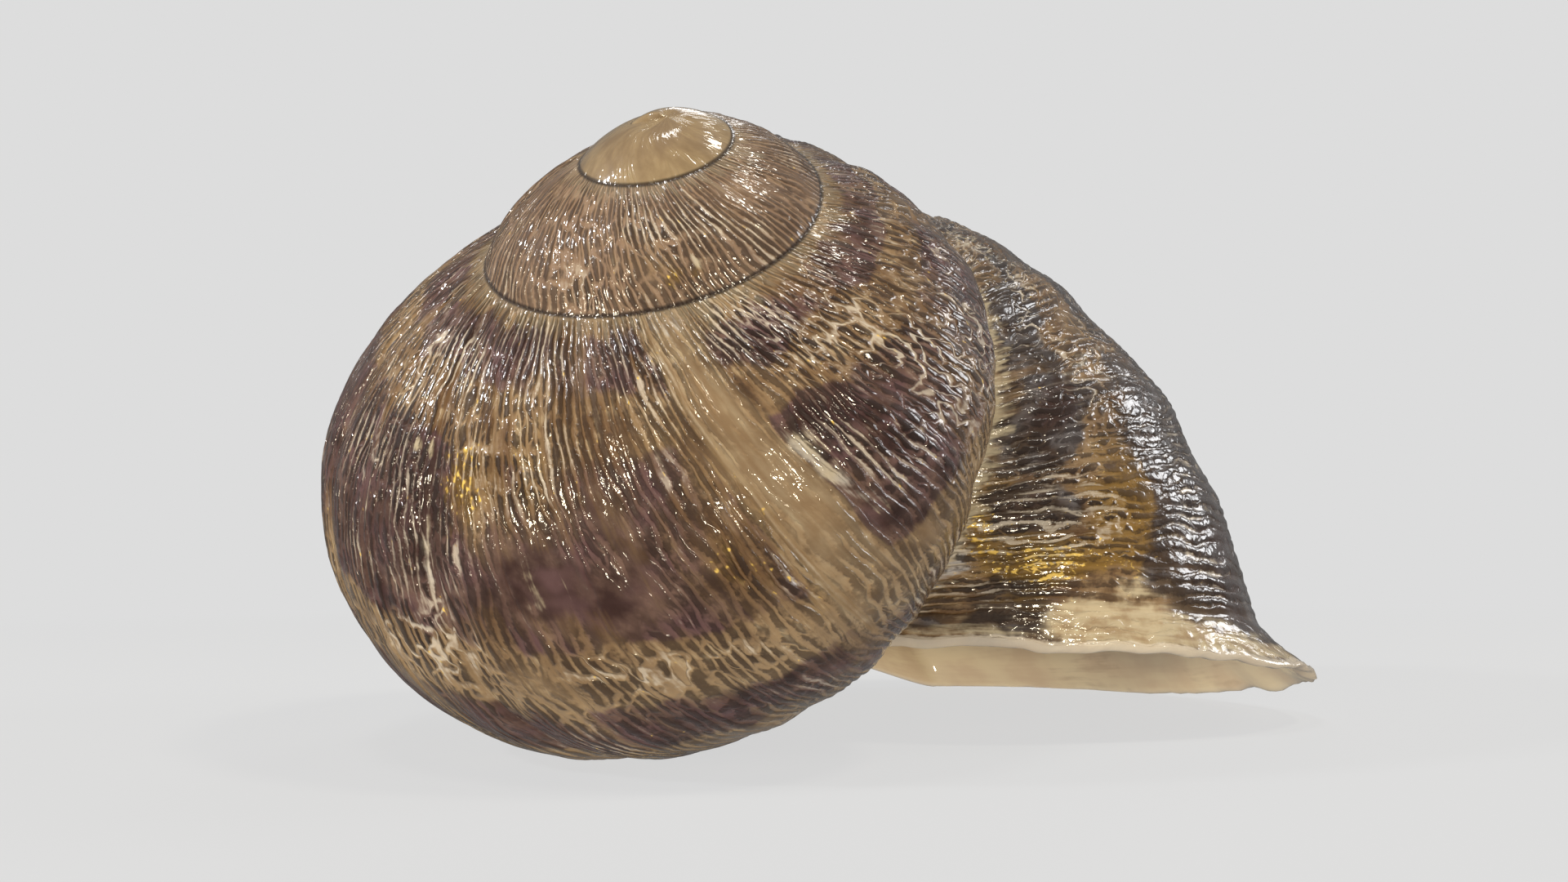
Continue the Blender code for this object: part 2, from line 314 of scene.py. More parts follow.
def noise(x, y, seed):
    """Smooth gradient noise between about -1 and 1, with cells one unit across."""
    x, y = np.broadcast_arrays(x, y)
    x0, y0 = np.floor(x), np.floor(y)
    total = np.zeros(x.shape)
    for dx in (0, 1):
        for dy in (0, 1):
            ix = (x0 + dx).astype(np.int64)
            iy = (y0 + dy).astype(np.int64)
            angle = hashed(ix, iy, seed) * TURN
            fx, fy = x - ix, y - iy
            weight = eased(1 - np.abs(fx)) * eased(1 - np.abs(fy))
            total += weight * (np.cos(angle) * fx + np.sin(angle) * fy)
    return total * NOISE_GAIN


def layers(u, v, parts, number=0):
    """Sum of noises given as strength, size along, size across and seed, for a numbered line."""
    return sum(strength * noise(u / long, v / wide, seed + number) for strength, long, wide, seed in parts)


def smooth(value, low, high):
    """0 up to low, 1 from high on, smooth between."""
    share = np.clip((value - low) / (high - low), 0, 1)
    return share * share * (3 - 2 * share)


def blob(stage, turn, marks):
    """Sum of soft spots, given in degrees as stage, turn, half length, half height, strength."""
    total = np.zeros(np.broadcast(stage, turn).shape)
    for at_stage, at_turn, length, height, strength in marks:
        far = ((stage - at_stage) / length) ** 2 + ((turn - at_turn) / height) ** 2
        total += strength * np.exp(-far ** 1.5)
    return total


def next_stage(stage):
    """Growth stage of the ring that grew over the ring of this stage, where they touch."""
    angle = stage + lag(lower_turn(stage)) + TURN
    return angle - lag(np.interp(angle, SEAM_ANGLES, SEAM_UPPER))


def covered_stage(stage):
    """Growth stage of the ring that the ring of this stage grew over, where they touch."""
    earliest, latest = (stage - turns * TURN for turns in COVER_SPAN)
    return solve(lambda earlier: next_stage(earlier) - stage, earliest, latest)


def lip_wave(stage, turn):
    ramp = np.clip(1 + stage / LIP_WAVE_LENGTH, 0, 1) ** 2
    v = turn * MOUTH_RADIUS / MM
    return ramp * LIP_WAVE * layers(v, NOISE_ROW, LIP_WAVES)


def side_curves(stage, start, end, steps, inset=0.0, top=None, low=None):
    """Growth lines as angle, distance and height, with the turn of each point.

    The swellings die away towards a suture, whose turn is given as top or low.
    """
    share = np.linspace(0, 1, steps + 1)
    turns = start[:, None] + (end - start)[:, None] * share
    stages = np.broadcast_to(stage[:, None], turns.shape)
    inset = np.broadcast_to(np.asarray(inset), stage.shape)[:, None]
    swell = swelling(stages) * smooth(stages, YOUNG_END, GROWN)
    if top is not None:
        swell = swell * smooth((top[:, None] - turns) * section_size(stages), 0, SWELLING_FADE)
    if low is not None:
        swell = swell * smooth((turns - low[:, None]) * section_size(stages), 0, SWELLING_FADE)
    raised = flare(stages, turns) + swell
    angles = stages + lag(turns) + lip_wave(stages, turns)
    out, height = section_point(angles, turns, inset - raised)
    return np.stack([angles, out, height], axis=-1), turns


def sweep_in(edge, goal, steps):
    """Smooth runs from the inner ends of growth lines to points at or near the axis."""
    share = np.linspace(0, 1, steps + 1)[1:, None]
    edge, goal = edge[:, None], goal[:, None]
    reach = edge[..., 1] - goal[..., 1]
    rise = goal[..., 2] - edge[..., 2]
    upward = np.clip(rise / NAVEL_RISE, 0, 1)
    zero = np.zeros_like(reach)
    leave_in = (LEAVE[0] + LEAVE[1] * upward) * reach
    arrive_in = (ARRIVE[0] + ARRIVE[1] * upward) * reach
    leave = edge + np.stack([zero, leave_in, LEAVE[2] * np.maximum(rise, 0)], axis=-1)
    arrive = goal + np.stack([zero, arrive_in, ARRIVE[2] * rise], axis=-1)
    return ((1 - share) ** 3 * edge + 3 * share * (1 - share) ** 2 * leave
            + 3 * share ** 2 * (1 - share) * arrive + share ** 3 * goal)


def add_sweep(side, turns, goal, steps, pillar_end=None):
    """Growth lines led on to the axis or the pillar, and along the pillar to its end if given."""
    runs = [side, sweep_in(side[:, -1], goal, steps)]
    if pillar_end is not None:
        share = np.linspace(0, 1, PILLAR_STEPS + 1)[1:, None]
        runs.append(goal[:, None] + (pillar_end - goal)[:, None] * share)
        steps += PILLAR_STEPS
    swept = BASE_END - np.linspace(0, 1, steps + 1)[1:] * SWEEP_TURN
    swept = np.broadcast_to(swept, (len(side), steps))
    return np.concatenate(runs, axis=1), np.concatenate([turns, swept], axis=1)


def seam_fade(distance):
    """Takes the relief down to nothing at a suture, given the distance from it in millimetres."""
    return smooth(distance, *SEAM_FADE)


def normals(points):
    """Unit normals of a grid of points."""
    down = np.gradient(points, axis=1)
    forward = np.gradient(points, axis=0)
    cross = np.cross(down, forward)
    length = np.linalg.norm(cross, axis=-1, keepdims=True)
    return cross / np.maximum(length, TINY)


# Strong growth lines: stage in degrees, height and width in mm, lowest and highest turn
GROWTH_LINES = (
    (-301.6, 0.1, 0.11, -8, 77), (-299, 0.07, 0.1, -5, 38), (-296.2, 0.05, 0.09, -5, 30),
    (-313.5, 0.04, 0.14, 15, 60), (-273, 0.06, 0.1, 10, 74), (-262, 0.07, 0.11, -20, 60),
    (-248, 0.08, 0.12, -20, 72), (-232.5, 0.08, 0.12, -20, 70), (-214, 0.07, 0.12, -60, 70),
    (-190, 0.08, 0.14, -60, 70), (-161, 0.07, 0.14, -60, 70), (-128, 0.09, 0.14, -60, 70),
    (-101, 0.07, 0.12, -60, 70), (-74, 0.08, 0.14, -60, 70), (-52, 0.07, 0.12, -60, 70),
    (-33.5, 0.09, 0.12, 30, 70), (-18.7, 0.09, 0.13, 56, 69), (-16, 0.08, 0.12, 55, 69),
    (-13, 0.08, 0.12, 52, 69), (-9, 0.05, 0.16, -20, 70), (-4.5, 0.06, 0.2, -60, 70),
)

# How far they waver in mm and how unevenly high they are, and the row each noise is taken from
LINE_WAVER = ((0.16, 1.7, 1.0, 50),)
LINE_UNEVEN = ((0.35, 1.1, 1.0, 80),)
UNEVEN_ROW = 1.5

# Degrees of turn over which their ends fade, outside and within the given turns
LINE_FADE_OUT = 6
LINE_FADE_IN = 2


def growth_lines(u, v, turn_deg):
    """Height of the strong growth lines in millimetres."""
    total = np.zeros(u.shape)
    for number, (stage, height, width, low, high) in enumerate(GROWTH_LINES):
        far = u - along(math.radians(stage)) - layers(v, NOISE_ROW, LINE_WAVER, number)
        window = smooth(turn_deg, low - LINE_FADE_OUT, low + LINE_FADE_IN)
        window = window * (1 - smooth(turn_deg, high - LINE_FADE_IN, high + LINE_FADE_OUT))
        tall = 1 + layers(v, UNEVEN_ROW, LINE_UNEVEN, number)
        total += height * np.exp(-(far / width) ** 2) * window * tall
    return total


# Where the surface is smooth, wrinkled, crossed by spiral lines, or has bolder ridges: stage,
# turn, half length and half height in degrees, and strength
SMOOTH_PLACES = ((-306.5, 40, 6.5, 40, 0.9), (-4, 46, 3.5, 14, 0.6), (-650, 42, 12, 12, 0.4))
WRINKLED_PLACES = (
    (-350, 30, 22, 26, 1.0), (-385, 55, 26, 22, 0.8), (-335, 62, 16, 12, 0.5), (-42, 55, 20, 16, 0.9),
    (-66, 55, 22, 22, 0.8), (-12, 53, 5, 6, 0.5), (-620, 50, 36, 26, 0.5), (-262, 4, 40, 14, 0.6),
    (-262, 46, 10, 14, 0.5), (-238, 40, 12, 20, 0.4), (-232, 64, 20, 8, 0.4), (-130, 40, 60, 50, 0.5),
    (-180, 20, 40, 40, 0.4),
)
CROSSED_PLACES = ((-282, 50, 15, 9, 1.0), (-20, 62, 12, 10, 0.7))
BOLD_PLACES = (
    (-240, 38, 15, 40, 0.4), (-262, 60, 30, 14, 0.3), (-262, 42, 8, 10, 0.4), (-276, 26, 16, 14, -0.5),
    (-330, 62, 26, 12, 0.5), (-350, 32, 30, 22, 0.3), (-14, 62, 8, 12, 0.5), (-150, 30, 60, 40, 0.2),
    (-640, 45, 70, 30, 0.1), (-320, 40, 8, 8, 0.4),
)

# Ridges: spacing in mm, its widening with growth, the power that narrows crests, height as a share
# of the spacing, mean and range of strength
RIDGE_SPACING = 0.19
RIDGE_WIDENING = 0.0018
CREST_POWER = 1.5
RIDGE_RISE = 0.15
RIDGE_MEAN = 0.7
RIDGE_RANGE = (0.15, 1.35)

# Other relief, in mm, and how wrinkled the surface is on average
RIB_HEIGHT = 0.1
WRINKLE_RISE = 0.022
COARSE_RISE = 0.035
WRINKLED_MEAN = 0.2

# Noises of the relief: strength, size along and across in mm, and seed
DRIFT = ((0.9, 2.2, 4.5, 1), (0.5, 0.9, 1.5, 2), (0.2, 0.4, 0.6, 3))
UNEVEN = ((0.45, 2.6, 2.4, 4), (0.35, 0.8, 1.6, 11))
WRINKLED = ((0.25, 3, 2.5, 10),)
PITS = ((1, 0.45, 0.5, 6),)
LINES_BEND = ((2, 1.2, 1.2, 7),)
LINES_SPACING = 0.36
COARSE = ((1, 3.4, 2.6, 8), (0.5, 1.3, 1.7, 9))

# Degrees of growth over which the relief sets in, and over which it fades at the lip
RELIEF_START = (-880, -740)
RELIEF_END = (-5, -1)

# How much smooth places take off the ridges and the coarse relief, what the lip takes off the
# ridges and the growth lines, and what wrinkles take off the ridges
PLAIN_RIDGES = 0.85
PLAIN_COARSE = 0.6
LIP_RIDGES = 0.4
LIP_LINES = 0.5
WRINKLED_RIDGES = 0.5


def ripple(phase):
    """A wave from 0 to 1."""
    return 0.5 + 0.5 * np.cos(phase)


def relief(stage, turn):
    """Height of the fine relief in metres, and the numbers that draw the ridges in the material."""
    u = along(stage)
    v = turn * section_size(stage)
    deg, turn_deg = np.degrees(stage), np.degrees(turn)
    spacing = RIDGE_SPACING + RIDGE_WIDENING * u
    phase = np.log(spacing / RIDGE_SPACING) / RIDGE_WIDENING + layers(u, v, DRIFT)
    crest = ripple(TURN * phase) ** CREST_POWER
    strength = RIDGE_MEAN + layers(u, v, UNEVEN)
    strength = np.clip(strength + blob(deg, turn_deg, BOLD_PLACES), *RIDGE_RANGE)
    plain = np.clip(blob(deg, turn_deg, SMOOTH_PLACES), 0, 1)
    wrinkled = np.clip(WRINKLED_MEAN + layers(u, v, WRINKLED) + blob(deg, turn_deg, WRINKLED_PLACES), 0, 1)
    crossed = np.clip(blob(deg, turn_deg, CROSSED_PLACES), 0, 1)
    lines = ripple(TURN * v / LINES_SPACING + layers(u, v, LINES_BEND))
    young = smooth(deg, *RELIEF_START)
    near_lip = smooth(deg, *RELIEF_END)
    shown = young * (1 - PLAIN_RIDGES * plain) * (1 - LIP_RIDGES * near_lip)
    ridge = crest * strength * (1 - WRINKLED_RIDGES * wrinkled)
    wrinkles = wrinkled * layers(u, v, PITS) - crossed * lines * crest
    rough = RIDGE_RISE * spacing * ridge + WRINKLE_RISE * wrinkles
    coarse = COARSE_RISE * layers(u, v, COARSE) * young * (1 - PLAIN_COARSE * plain)
    ribs = growth_lines(u, v, turn_deg) * (1 - LIP_LINES * near_lip)
    return (shown * rough + coarse + ribs) * MM, {"phase": phase, "strength": strength * shown,
                                                  "wrinkled": wrinkled, "rib": ribs / RIB_HEIGHT}


# Colour bands round the spiral: middle and half height in degrees of turn, and strength
BANDS = ((65, 6.5, 0.5), (29, 18, 0.62), (-12, 9, 0.48), (-42, 8, 0.4))

# How far a band's edge is soft on both sides, and the growth over which the bands set in
BAND_EDGE = 1.5
BAND_START = (-640, -470)

# Marks, each with its stage, turn, half length, half height and strength
DARK_MARKS = (
    (-329, 64, 11, 4, 0.6), (-321, 62, 7, 4, 1.2), (-354, 63, 6, 4, 0.3), (-378, 63, 11, 6, 0.4),
    (-290, 65, 5, 7, 0.5), (-266, 67, 7, 6, 0.9), (-249, 65, 9, 6, 1.1), (-218, 64, 6, 7, 1),
    (-232, 62, 5, 8, 0.7), (-296, 69, 3, 4, 0.5), (-320, 41.5, 9, 6, 0.9), (-331, 30, 9, 8, 0.4),
    (-322, 19, 12, 6, 0.6), (-343, 36, 9, 6, 0.2), (-245, 41, 9, 9, 1.5), (-243, 24, 12, 9, 1),
    (-226, 28, 8, 16, 0.8), (-268, 24, 12, 5, 0.5), (-212, 30, 8, 14, 0.4), (-268, 28, 8, 10, 0.2),
    (-288, -9, 8, 5, 0.4), (-250, -14, 10, 7, 0.5), (-270, -12, 12, 8, 0.3), (-48, 63, 8, 5, 0.8),
    (-29, 63, 6, 5, 0.9), (-17, 64, 2.2, 5, 0.8), (-33, 59, 5, 6, 0.8), (-15, 30, 18, 14, 0.5),
    (-60, 50, 10, 12, 0.5), (-26, 43, 9, 6, 0.5), (-10, 76, 8, 4, 0.4), (-3, 66, 1.6, 4, 0.7),
    (-1.4, 74, 0.7, 6, 0.6), (-9, 27, 6, 6, 0.6), (-1.2, 18, 1.2, 3, 0.8), (-30, 50, 8, 5, 0.4),
)
CREAM_MARKS = (
    (-1.5, 50, 3.2, 13, 1.1), (-3.6, 56, 2, 6, 0.8), (-2, 33, 2, 9, 0.7), (-1, 22, 1, 9, 0.7),
    (-0.8, 72, 1.2, 7, 0.6), (-6.5, 47, 1.5, 4, 0.4),
)
CLEAR_MARKS = (
    (-311, 73, 14, 4.5, 0.8), (-268, 52, 30, 5, 0.4), (-350, 50, 14, 5, 0.5), (-56, 66, 5, 4, 0.6),
    (-37, 52, 2, 12, 0.8), (-222, 50, 10, 14, 0.4), (-3, 52, 2.5, 10, 0.9), (-12, 73, 9, 2.5, 0.8),
)
# Pale streaks of the shell, and among them some painted highlights: the glinting patch at the wedge's left
# edge and the bright patch on the second whorl
PALE_AND_HIGHLIGHT_MARKS = (
    (-315, 38, 2.6, 9, 1), (-316, 24, 3, 9, 0.6), (-312, 73, 13, 4, 0.6), (-247, 26, 4, 9, 0.6),
    (-246, 45, 2.5, 2.5, 0.9), (-265, 23, 4, 10, 0.4), (-233, 28, 3, 16, 0.6), (-278, 68, 7, 6, 0.3),
    (-37, 52, 1.2, 12, 1), (-13, 74.5, 7, 2.2, 1.2), (-26, 72, 8, 2, 1), (-64, 62, 8, 6, 0.8),
    (-52, 58, 3, 8, 0.5), (-350, 62, 3, 4, 0.6), (-340, 22, 10, 8, 0.4), (-358, 52, 22, 6, 0.4),
    (-24, 30, 14, 9, 0.4), (-228, 66, 12, 10, 0.5), (-662, 40, 4, 5, 0.9),
)
OCHRE_MARKS = (
    (-278, 48, 20, 10, 0.35), (-15, 50, 8, 9, 1.2), (-27, 50, 5, 6, 0.6), (-14, 67, 7, 5, 0.8),
    (-4.5, 34, 3, 5, 0.8), (-56, 65, 5, 4, 0.5), (-250, 72, 5, 3, 0.6), (-345, 44, 10, 8, 0.5),
    (-378, 40, 8, 8, 0.5), (-650, 45, 14, 12, 0.4), (-668, 66, 12, 8, 0.4), (-299, 26, 4, 26, 0.5),
    (-262, 40, 12, 8, 0.5), (-9, 63, 3.5, 9, 1.2), (-4.2, 65, 2.2, 3.5, 1), (-6, 39, 2.2, 6, 1.1),
    (-22, 70, 8, 4, 0.5),
)
# Painted glints: patches that stand for golden reflections beside the lip, on the left and on the second
# whorl, drawn as bright sparks on a darker amber ground
GLINT_MARKS = (
    (-9.5, 62, 2.8, 8, 1), (-14, 71, 4, 2.5, 0.8), (-9, 50, 2, 4, 0.4), (-5, 52, 1.5, 6, 0.3),
    (-256, 40, 5, 9, 0.7), (-294, 22, 6, 10, 0.4), (-655, 36, 8, 5, 0.6),
)

# Noises of the marks: what moves them in degrees of turn and of growth, and the bands' flames
BEND = ((2.2, 2.4, 2, 20), (1.4, 0.8, 1.2, 21))
MOVE = ((2.5, 1.6, 2.4, 22),)
FLAMES = ((0.3, 3.1, 9, 24), (0.25, 0.9, 4, 34))

# The plain wedge: its soft edges in growth and in turn, how its ends waver, and how far it
# clears the dark marks
WEDGE_START = (-312.8, -311.2)
WEDGE_END = (-301.3, -298.9)
WEDGE_LOW = (-12, 2)
WEDGE_HIGH = (68, 76)
WEDGE_WAVER = ((0.8, 1.0, 1.5, 23),)
WEDGE_CLEARS = 1.2

# How much smooth places and the wedge count towards the plain colour
PLAIN_SHARE = 0.3


def wedge(deg, bent):
    """1 in the stretch of smooth pale shell after the first strong growth line."""
    length = smooth(deg, *WEDGE_START) * (1 - smooth(deg, *WEDGE_END))
    return length * smooth(bent, *WEDGE_LOW) * (1 - smooth(bent, *WEDGE_HIGH))


def bands(u, v, deg, bent):
    """Strength of the colour bands, with their flames."""
    dark = np.zeros(u.shape)
    for number, (middle, half, strength) in enumerate(BANDS):
        edge = smooth(half + BAND_EDGE - np.abs(bent - middle), 0, 2 * BAND_EDGE)
        dark = np.maximum(dark, edge * (strength + layers(u, v, FLAMES, number)))
    return dark * smooth(deg, *BAND_START)


def markings(stage, turn):
    """Strength of each kind of colour at points of the surface, before the fine streaks; the amber marks are
    painted glints and some pale marks painted highlights.
    """
    u = along(stage)
    v = turn * section_size(stage)
    deg, turn_deg = np.degrees(stage), np.degrees(turn)
    bent = turn_deg + layers(u, v, BEND)
    moved = deg + layers(u, v, MOVE)
    clear = wedge(deg + layers(0.0, v, WEDGE_WAVER), bent)
    dark = bands(u, v, deg, bent) + blob(moved, bent, DARK_MARKS) - blob(moved, bent, CLEAR_MARKS)
    plain = np.clip(blob(deg, turn_deg, SMOOTH_PLACES), 0, 1)
    return {"dark": dark - WEDGE_CLEARS * clear, "pale": blob(moved, bent, PALE_AND_HIGHLIGHT_MARKS),
            "ochre": blob(moved, bent, OCHRE_MARKS), "amber": blob(deg, turn_deg, GLINT_MARKS),
            "cream": blob(deg, bent, CREAM_MARKS), "clear": plain * PLAIN_SHARE + (1 - PLAIN_SHARE) * clear}


# What a piece without relief says about its ridges
NO_RIDGES = {"phase": 0.0, "strength": 0.0, "wrinkled": 0.0, "rib": 0.0}


def build(name, points, values):
    """A mesh object from a grid of points, with a number for each point under each name."""
    rows, columns = points.shape[:2]
    index = np.arange(rows * columns).reshape(rows, columns)
    corners = [index[:-1, :-1], index[:-1, 1:], index[1:, 1:], index[1:, :-1]]
    faces = np.stack(corners, axis=-1).reshape(-1, 4)
    mesh = bpy.data.meshes.new(name)
    mesh.vertices.add(rows * columns)
    mesh.vertices.foreach_set("co", points.reshape(-1).astype(np.float32))
    mesh.loops.add(faces.size)
    mesh.loops.foreach_set("vertex_index", faces.reshape(-1).astype(np.int32))
    mesh.polygons.add(len(faces))
    mesh.polygons.foreach_set("loop_start", np.arange(0, faces.size, 4, dtype=np.int32))
    mesh.update(calc_edges=True)
    mesh.validate()
    for key, value in values.items():
        layer = mesh.attributes.new(key, "FLOAT", "POINT")
        whole = np.broadcast_to(value, (rows, columns)).reshape(-1)
        layer.data.foreach_set("value", whole.astype(np.float32))
    mesh.shade_smooth()
    piece = bpy.data.objects.new(name, mesh)
    bpy.context.collection.objects.link(piece)
    return piece


def finish_piece(name, curves, stages, turns, height, ridges, top=NO_SEAM, low=NO_SEAM, inside=0.0):
    """A piece from its curves, moved out by the relief, kept above the floor and given its numbers.

    top and low are the distances in millimetres from the sutures, and inside is 1 on the pearl.
    """
    points = in_place(curves)
    points = points + normals(points) * height[..., None]
    points[..., 2] = np.maximum(points[..., 2], 0.0)
    values = {"along": along(stages), "across": turns * section_size(stages), "stage": np.degrees(stages),
              "turn": np.degrees(turns), "top": top, "low": low, "inside": inside}
    return build(name, points, {**values, **ridges, **markings(stages, turns)})


def make_spire():
    """All whorls but the last, from the tip down to the suture of the last whorl."""
    stage = stages_between(FIRST_STAGE, LAST_WHORL + SPIRE_PAST, SPIRE_STEP)
    first = stage < TIP_END
    start = np.where(first, TIP_START, upper_turn(stage) + OVERLAP)
    seam_low = lower_turn(stage)
    curves, turns = side_curves(stage, start, seam_low - 2 * OVERLAP, SPIRE_ACROSS,
                                top=start - OVERLAP, low=seam_low)
    stages = np.broadcast_to(stage[:, None], turns.shape)
    size = section_size(stages)
    from_top = np.where(first[:, None], NO_SEAM, (start[:, None] - OVERLAP - turns) * size)
    from_low = (turns - seam_low[:, None]) * size
    curves[first, 0, :2] = 0.0
    curves[first, 0, 2] = -TIP_DEPTH
    sunk = START_SINK * (1 - smooth(stage, FIRST_STAGE, FIRST_STAGE + START_LENGTH))
    curves[..., 2] -= sunk[:, None]
    height, ridges = relief(stages, turns)
    height = height * seam_fade(from_top) * seam_fade(from_low)
    return finish_piece("spire", curves, stages, turns, height, ridges, from_top, from_low,
                        smooth(-from_low, *PEARL_FADE))


def make_last_whorl():
    """The last whorl, from the suture above it down to the navel."""
    stage = stages_between(LAST_WHORL, 0.0, LAST_STEP)
    start = upper_turn(stage) + OVERLAP
    side, turns = side_curves(stage, start, BASE_END, SIDE_ACROSS, top=start - OVERLAP)
    goal = np.stack([stage + LIP_LAG_LIMIT, np.zeros_like(stage), np.full_like(stage, -NAVEL_DEPTH)], axis=-1)
    curves, turns = add_sweep(side, turns, goal, SWEEP_ACROSS)
    stages = np.broadcast_to(stage[:, None], turns.shape)
    from_top = (start[:, None] - OVERLAP - turns) * section_size(stages)
    fade = np.ones(turns.shape[1])
    fade[-SWEEP_ACROSS:] = np.sqrt(np.linspace(1, 0, SWEEP_ACROSS))
    fade = fade * seam_fade(from_top)
    height, ridges = relief(stages, turns)
    ridges["strength"] = ridges["strength"] * fade
    return finish_piece("last_whorl", curves, stages, turns, height * fade, ridges, from_top)


def mouth_goal(stage, edge_height, edge_angle):
    """Where the floor of the hollow ends: at the navel at the lip, on the pillar behind it."""
    pillar = PILLAR_RADIUS * growth(edge_angle) ** WIDTH_POWER
    behind = np.clip(-stage / PILLAR_LENGTH, 0, 1)
    floor = np.maximum(edge_height, -NAVEL_DEPTH + LIP_THICKNESS)
    height = -NAVEL_DEPTH + (floor + NAVEL_DEPTH) * behind
    return np.stack([stage + LIP_LAG_LIMIT, pillar * behind, height], axis=-1)


def make_mouth_wall():
    """The rounded lip and the outer wall of the hollow, from the outer edge of the lip inwards."""
    turned = np.linspace(0, math.pi, LIP_ROUND_STEPS + 1)
    rim_inset = LIP_THICKNESS * (1 - np.cos(turned)) / 2
    depth = np.arange(0, INSIDE_DEPTH, -INSIDE_STEP)[1:]
    wall_inset = LIP_THICKNESS + (WALL - LIP_THICKNESS) * np.clip(-depth / FLARE_LENGTH, 0, 1)
    stage = np.concatenate([LIP_ROUNDING * np.sin(turned), depth])
    inset = np.concatenate([rim_inset, wall_inset])
    outer = upper_turn(stage) + OVERLAP
    inner = upper_turn(stage, INNER_UPPER) + OVERLAP
    blend = np.clip(inset / LIP_THICKNESS, 0, 1)
    start = outer * (1 - blend) + inner * blend
    side, turns = side_curves(stage, start, BASE_END, SIDE_ACROSS, inset, top=outer - OVERLAP)
    goal = mouth_goal(np.minimum(stage, 0), side[:, -1, 2], side[:, -1, 0])
    goal[:, 0] = stage + LIP_LAG_LIMIT
    curves, turns = add_sweep(side, turns, goal, SWEEP_ACROSS)
    stages = np.broadcast_to(stage[:, None], turns.shape)
    inside = smooth(np.arange(len(stage)), 1, LIP_ROUND_STEPS - 1)[:, None]
    return finish_piece("mouth_wall", curves, stages, turns, np.zeros(turns.shape), NO_RIDGES, inside=inside)


def make_mouth_floor():
    """The side of the hollow that is the whorl before it, and the pillar."""
    stage = np.arange(0, INSIDE_DEPTH, -INSIDE_STEP)
    covered = covered_stage(stage)
    seam = lower_turn(covered)
    side, turns = side_curves(covered, seam - FLOOR_GAP, BASE_END, INSIDE_ACROSS, low=seam)
    goal = mouth_goal(stage, side[:, -1, 2], stage)
    goal[:, 0] -= TURN + (stage - TURN - covered) * np.clip(1 + stage / PILLAR_LENGTH, 0, 1)
    edge = stage + lag(BASE_END)
    pillar_end = mouth_goal(stage, section_point(edge, BASE_END, WALL)[1], edge)
    pillar_end[:, 0] -= TURN
    curves, turns = add_sweep(side, turns, goal, INSIDE_SWEEP, pillar_end)
    stages = np.broadcast_to(covered[:, None], turns.shape)
    return finish_piece("mouth_floor", curves, stages, turns, np.zeros(turns.shape), NO_RIDGES, inside=1.0)


def seen(red, green, blue):
    """Scene colour for a colour given as seen on screen, from 0 to 255."""
    parts = [part / 255 for part in (red, green, blue)]
    return (*[part / 12.92 if part <= 0.04045 else ((part + 0.055) / 1.055) ** 2.4 for part in parts], 1.0)


TAN = seen(150, 123, 90)
TAN_DARK = seen(108, 80, 52)
TAN_LIGHT = seen(176, 152, 118)
DARK = seen(60, 36, 31)
DARK_LIGHT = seen(116, 90, 78)
PURPLE = seen(100, 72, 72)
GREY = seen(104, 98, 98)
OLIVE_DARK = seen(58, 46, 28)
CREAM = seen(206, 190, 158)
GREY_WHITE = seen(188, 184, 182)
# Pale crest colour: partly the crests' own paler tone, partly painted highlight along them; also the real
# pale edge of the lip
CREST_HIGHLIGHT_AND_LIP_EDGE = seen(216, 203, 184)
OCHRE = seen(130, 98, 34)
OLIVE_CREAM = seen(170, 149, 118)
ROSY = seen(148, 122, 102)
IVORY = seen(130, 108, 80)
HORN = seen(160, 138, 104)
# Painted shade: the dark put into the valleys between ridges and into the suture crease
SHADE_BROWN = seen(36, 22, 15)
NACRE = seen(221, 203, 170)
NACRE_ROSE = seen(209, 186, 156)
# Painted glints: the golden sparks and the darker amber ground around them
GLINT_GOLD = seen(246, 206, 104)
GLINT_GROUND = seen(122, 90, 24)
BLACK = (0, 0, 0, 1)

# Places of the colours among the Mix node's inputs, and of the mixed colour among its outputs
MIX_COLOURS = (6, 7)
MIX_RESULT = 2


